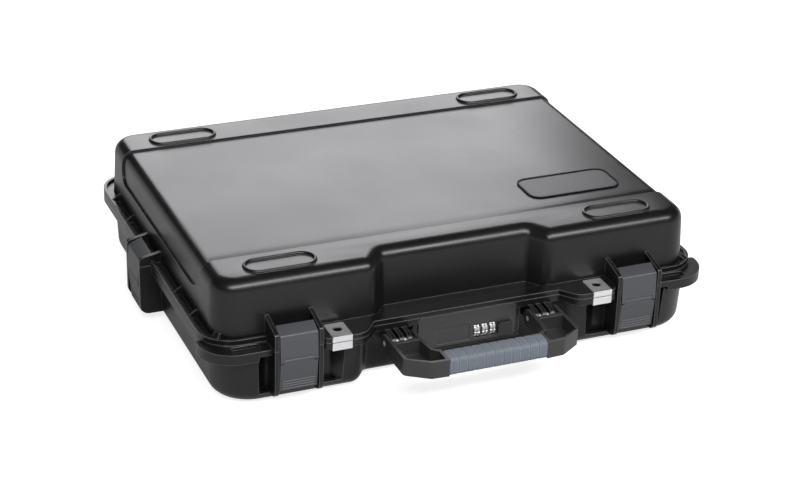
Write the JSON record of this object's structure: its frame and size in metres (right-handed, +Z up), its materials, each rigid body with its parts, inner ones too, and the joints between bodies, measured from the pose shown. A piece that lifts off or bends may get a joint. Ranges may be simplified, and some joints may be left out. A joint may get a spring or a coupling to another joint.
{
  "type": "laptop hard case",
  "caption": "Black moulded hard case for a laptop, with a hinged lid, front and side latches, a folding carrying handle, a combination lock and padlock plates",
  "frame": {"origin": "On the ground under the middle of the closed case, handle, latches and hinges included", "axes": "+Z up from the feet to the lid, -Y towards the handle and the combination lock, +Y towards the hinges, +X to the right when the handle faces the viewer"},
  "size_m": [0.524, 0.466, 0.1218],
  "materials": {
    "shell_plastic": "satin moulded black plastic",
    "latch_plastic": "satin blue-grey plastic",
    "grip_rubber": "matt blue-grey rubber",
    "handle_plastic": "satin black plastic",
    "steel": "brushed stainless steel",
    "lock_plastic": "fine matt dark grey plastic",
    "dial_metal": "satin silver",
    "badge_silver": "brushed grey",
    "seal_rubber": "soft black rubber",
    "foam": "open-cell dark grey foam"
  },
  "bodies": {
    "base": {"base_shell": "shell_plastic", "base_foam": "foam", "hinge_pins": "steel", "latch_pin_front_left": "steel", "latch_pin_front_right": "steel", "latch_pin_side_left": "steel", "latch_pin_side_right": "steel", "padlock_plate_base_left": "steel", "padlock_plate_base_right": "steel", "lock_panel": "lock_plastic", "dial_axle": "steel"},
    "lid": {"lid_shell": "shell_plastic", "rim_seal": "seal_rubber", "lid_foam": "foam", "padlock_plate_lid_left": "steel", "padlock_plate_lid_right": "steel", "badge_frame": "handle_plastic", "badge_plate": "badge_silver", "lid_striker": "steel"},
    "hook_front_left": {"latch_hook_front_left": "latch_plastic", "lever_pin_front_left": "steel"},
    "hook_front_right": {"latch_hook_front_right": "latch_plastic", "lever_pin_front_right": "steel"},
    "hook_side_left": {"latch_hook_side_left": "latch_plastic", "lever_pin_side_left": "steel"},
    "hook_side_right": {"latch_hook_side_right": "latch_plastic", "lever_pin_side_right": "steel"},
    "lever_front_left": {"latch_lever_front_left": "latch_plastic"},
    "lever_front_right": {"latch_lever_front_right": "latch_plastic"},
    "lever_side_left": {"latch_lever_side_left": "latch_plastic"},
    "lever_side_right": {"latch_lever_side_right": "latch_plastic"},
    "dial_1_body": {"dial_1": "dial_metal"},
    "dial_2_body": {"dial_2": "dial_metal"},
    "dial_3_body": {"dial_3": "dial_metal"},
    "lock_slide": {"lock_button": "lock_plastic", "lock_bolt": "steel"},
    "handle": {"handle_frame": "handle_plastic", "handle_grip": "grip_rubber", "handle_pins": "steel"}
  },
  "joints": [
    {"name": "lid_hinge", "type": "hinge", "parent": "base", "child": "lid", "pos_m": [0, 0.2275, 0.0612], "axis": [-1, 0, 0], "range_deg": [0, 105]},
    {"name": "handle_pivot", "type": "hinge", "parent": "base", "child": "handle", "pos_m": [0, -0.172, 0.047], "axis": [-1, 0, 0], "range_deg": [-32, 88]},
    {"name": "hook_front_left_pivot", "type": "hinge", "parent": "base", "child": "hook_front_left", "pos_m": [-0.1708, -0.1685, 0.027], "axis": [1, 0, 0], "range_deg": [0, 90]},
    {"name": "lever_front_left_pivot", "type": "hinge", "parent": "hook_front_left", "child": "lever_front_left", "pos_m": [-0.1708, -0.176, 0.0492], "axis": [-1, 0, 0], "range_deg": [0, 45]},
    {"name": "hook_front_right_pivot", "type": "hinge", "parent": "base", "child": "hook_front_right", "pos_m": [0.1708, -0.1685, 0.027], "axis": [1, 0, 0], "range_deg": [0, 90]},
    {"name": "lever_front_right_pivot", "type": "hinge", "parent": "hook_front_right", "child": "lever_front_right", "pos_m": [0.1708, -0.176, 0.0492], "axis": [-1, 0, 0], "range_deg": [0, 45]},
    {"name": "hook_side_left_pivot", "type": "hinge", "parent": "base", "child": "hook_side_left", "pos_m": [-0.252, 0.043, 0.019], "axis": [0, -1, 0], "range_deg": [0, 90]},
    {"name": "lever_side_left_pivot", "type": "hinge", "parent": "hook_side_left", "child": "lever_side_left", "pos_m": [-0.2595, 0.043, 0.0412], "axis": [0, 1, 0], "range_deg": [0, 45]},
    {"name": "hook_side_right_pivot", "type": "hinge", "parent": "base", "child": "hook_side_right", "pos_m": [0.252, 0.043, 0.019], "axis": [0, 1, 0], "range_deg": [0, 90]},
    {"name": "lever_side_right_pivot", "type": "hinge", "parent": "hook_side_right", "child": "lever_side_right", "pos_m": [0.2595, 0.043, 0.0412], "axis": [0, -1, 0], "range_deg": [0, 45]},
    {"name": "dial_1_turn", "type": "hinge", "parent": "base", "child": "dial_1_body", "pos_m": [0.01, -0.156, 0.037], "axis": [1, 0, 0], "continuous": true},
    {"name": "dial_2_turn", "type": "hinge", "parent": "base", "child": "dial_2_body", "pos_m": [0.018, -0.156, 0.037], "axis": [1, 0, 0], "continuous": true},
    {"name": "dial_3_turn", "type": "hinge", "parent": "base", "child": "dial_3_body", "pos_m": [0.026, -0.156, 0.037], "axis": [1, 0, 0], "continuous": true},
    {"name": "lock_slide_travel", "type": "slide", "parent": "base", "child": "lock_slide", "axis": [1, 0, 0], "range_m": [0, 0.004], "stiffness_N_per_m": 120}
  ]
}
